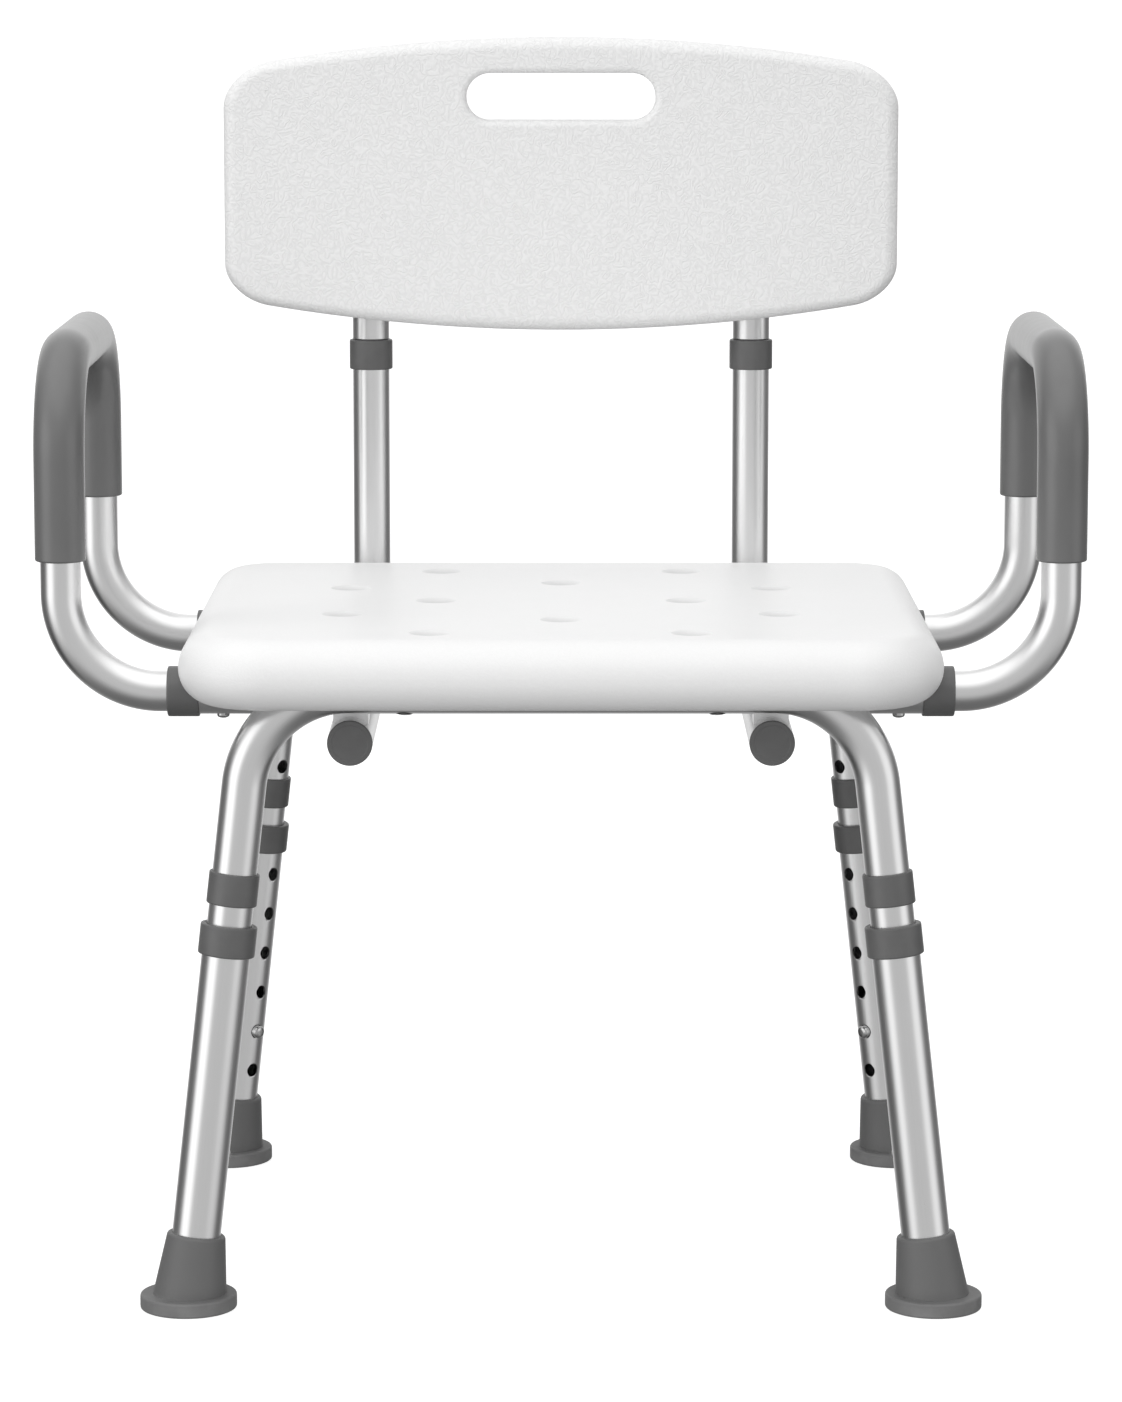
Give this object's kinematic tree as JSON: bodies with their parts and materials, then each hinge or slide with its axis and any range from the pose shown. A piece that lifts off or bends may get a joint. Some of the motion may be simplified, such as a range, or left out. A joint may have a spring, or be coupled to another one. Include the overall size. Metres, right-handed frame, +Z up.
{
  "type": "shower stool",
  "caption": "Height-adjustable shower stool with a moulded seat, a lift-off backrest, plug-in padded arms and splayed telescopic legs on rubber feet.",
  "frame": {"origin": "on the floor, under the middle of the chair's bounding box", "axes": "+Z up, -Y towards the front of the seat, X across the chair"},
  "size_m": [0.659, 0.452, 0.7875],
  "materials": {
    "seat_plastic": "white moulded polyethylene with a fine grain",
    "aluminium": "satin anodised",
    "collar_plastic": "satin dark grey",
    "grip_sleeve": "smooth satin grey sleeve",
    "rubber": "matt grey rubber",
    "steel": "bright plated steel"
  },
  "bodies": {
    "frame": {"seat_panel": "seat_plastic", "front_leg_frame": "aluminium", "rear_leg_frame": "aluminium", "front_arm_socket": "aluminium", "rear_arm_socket": "aluminium", "back_socket_left": "aluminium", "back_socket_right": "aluminium", "back_socket_plugs": "collar_plastic", "arm_socket_collars": "collar_plastic", "leg_stop_rings": "collar_plastic", "seat_screws": "steel", "socket_saddles": "collar_plastic", "leg_button_clips": "steel"},
    "leg_front_left": {"lower_leg_front_left": "aluminium", "leg_collar_front_left": "collar_plastic", "foot_front_left": "rubber", "foot_washer_front_left": "steel"},
    "leg_button_front_left": {"leg_button_front_left": "steel"},
    "leg_front_right": {"lower_leg_front_right": "aluminium", "leg_collar_front_right": "collar_plastic", "foot_front_right": "rubber", "foot_washer_front_right": "steel"},
    "leg_button_front_right": {"leg_button_front_right": "steel"},
    "leg_rear_left": {"lower_leg_rear_left": "aluminium", "leg_collar_rear_left": "collar_plastic", "foot_rear_left": "rubber", "foot_washer_rear_left": "steel"},
    "leg_button_rear_left": {"leg_button_rear_left": "steel"},
    "leg_rear_right": {"lower_leg_rear_right": "aluminium", "leg_collar_rear_right": "collar_plastic", "foot_rear_right": "rubber", "foot_washer_rear_right": "steel"},
    "leg_button_rear_right": {"leg_button_rear_right": "steel"},
    "arm_left": {"arm_tube_left": "aluminium", "arm_grip_left": "grip_sleeve", "arm_button_clips_left": "steel"},
    "arm_button_front_left": {"arm_button_front_left": "steel"},
    "arm_button_rear_left": {"arm_button_rear_left": "steel"},
    "arm_right": {"arm_tube_right": "aluminium", "arm_grip_right": "grip_sleeve", "arm_button_clips_right": "steel"},
    "arm_button_front_right": {"arm_button_front_right": "steel"},
    "arm_button_rear_right": {"arm_button_rear_right": "steel"},
    "posts": {"back_post_left": "aluminium", "back_post_right": "aluminium", "post_collars": "collar_plastic", "post_button_clips": "steel"},
    "backrest": {"backrest_panel": "seat_plastic", "back_tube_left": "aluminium", "back_tube_right": "aluminium", "backrest_screws": "steel", "back_button_clips": "steel"},
    "post_button_left": {"post_button_left": "steel"},
    "back_button_left": {"back_button_left": "steel"},
    "post_button_right": {"post_button_right": "steel"},
    "back_button_right": {"back_button_right": "steel"}
  },
  "joints": [
    {"name": "leg_front_left_slide", "type": "slide", "parent": "frame", "child": "leg_front_left", "axis": [-0.1112, -0.0397, -0.993], "range_m": [0, 0.11359], "deforming": ["leg_button_front_left", "leg_button_clips"]},
    {"name": "leg_button_front_left_press", "type": "slide", "parent": "frame", "child": "leg_button_front_left", "axis": [-0.6992, -0.7069, 0.1066], "range_m": [0, 0.0042], "stiffness_N_per_m": 800, "springref_m": -0.004},
    {"name": "leg_front_right_slide", "type": "slide", "parent": "frame", "child": "leg_front_right", "axis": [0.1112, -0.0397, -0.993], "range_m": [0, 0.11359], "deforming": ["leg_button_front_right", "leg_button_clips"]},
    {"name": "leg_button_front_right_press", "type": "slide", "parent": "frame", "child": "leg_button_front_right", "axis": [0.6992, -0.7069, 0.1066], "range_m": [0, 0.0042], "stiffness_N_per_m": 800, "springref_m": -0.004},
    {"name": "leg_rear_left_slide", "type": "slide", "parent": "frame", "child": "leg_rear_left", "axis": [-0.1112, 0.0397, -0.993], "range_m": [0, 0.11359], "deforming": ["leg_button_rear_left", "leg_button_clips"]},
    {"name": "leg_button_rear_left_press", "type": "slide", "parent": "frame", "child": "leg_button_rear_left", "axis": [-0.6992, 0.7069, 0.1066], "range_m": [0, 0.0042], "stiffness_N_per_m": 800, "springref_m": -0.004},
    {"name": "leg_rear_right_slide", "type": "slide", "parent": "frame", "child": "leg_rear_right", "axis": [0.1112, 0.0397, -0.993], "range_m": [0, 0.11359], "deforming": ["leg_button_rear_right", "leg_button_clips"]},
    {"name": "leg_button_rear_right_press", "type": "slide", "parent": "frame", "child": "leg_button_rear_right", "axis": [0.6992, 0.7069, 0.1066], "range_m": [0, 0.0042], "stiffness_N_per_m": 800, "springref_m": -0.004},
    {"name": "arm_left_slide", "type": "slide", "parent": "frame", "child": "arm_left", "axis": [-1, 0, 0], "range_m": [0, 0.09], "deforming": ["arm_button_front_left", "arm_button_rear_left", "arm_button_clips_left"]},
    {"name": "arm_button_front_left_press", "type": "slide", "parent": "arm_left", "child": "arm_button_front_left", "axis": [0, 0, 1], "range_m": [0, 0.0042], "stiffness_N_per_m": 800, "springref_m": -0.004},
    {"name": "arm_button_rear_left_press", "type": "slide", "parent": "arm_left", "child": "arm_button_rear_left", "axis": [0, 0, 1], "range_m": [0, 0.0042], "stiffness_N_per_m": 800, "springref_m": -0.004},
    {"name": "arm_right_slide", "type": "slide", "parent": "frame", "child": "arm_right", "axis": [1, 0, 0], "range_m": [0, 0.09], "deforming": ["arm_button_front_right", "arm_button_rear_right", "arm_button_clips_right"]},
    {"name": "arm_button_front_right_press", "type": "slide", "parent": "arm_right", "child": "arm_button_front_right", "axis": [0, 0, 1], "range_m": [0, 0.0042], "stiffness_N_per_m": 800, "springref_m": -0.004},
    {"name": "arm_button_rear_right_press", "type": "slide", "parent": "arm_right", "child": "arm_button_rear_right", "axis": [0, 0, 1], "range_m": [0, 0.0042], "stiffness_N_per_m": 800, "springref_m": -0.004},
    {"name": "posts_slide", "type": "slide", "parent": "frame", "child": "posts", "axis": [0, 1, 0], "range_m": [0, 0.15], "deforming": ["post_button_left", "post_button_right", "post_button_clips"]},
    {"name": "backrest_slide", "type": "slide", "parent": "posts", "child": "backrest", "axis": [0, 0, 1], "range_m": [0, 0.07], "deforming": ["back_button_left", "back_button_right", "back_button_clips"]},
    {"name": "post_button_left_press", "type": "slide", "parent": "posts", "child": "post_button_left", "axis": [0, 0, 1], "range_m": [0, 0.0042], "stiffness_N_per_m": 800, "springref_m": -0.004},
    {"name": "back_button_left_press", "type": "slide", "parent": "backrest", "child": "back_button_left", "axis": [0, -1, 0], "range_m": [0, 0.0039], "stiffness_N_per_m": 800, "springref_m": -0.004},
    {"name": "post_button_right_press", "type": "slide", "parent": "posts", "child": "post_button_right", "axis": [0, 0, 1], "range_m": [0, 0.0042], "stiffness_N_per_m": 800, "springref_m": -0.004},
    {"name": "back_button_right_press", "type": "slide", "parent": "backrest", "child": "back_button_right", "axis": [0, -1, 0], "range_m": [0, 0.0039], "stiffness_N_per_m": 800, "springref_m": -0.004}
  ]
}
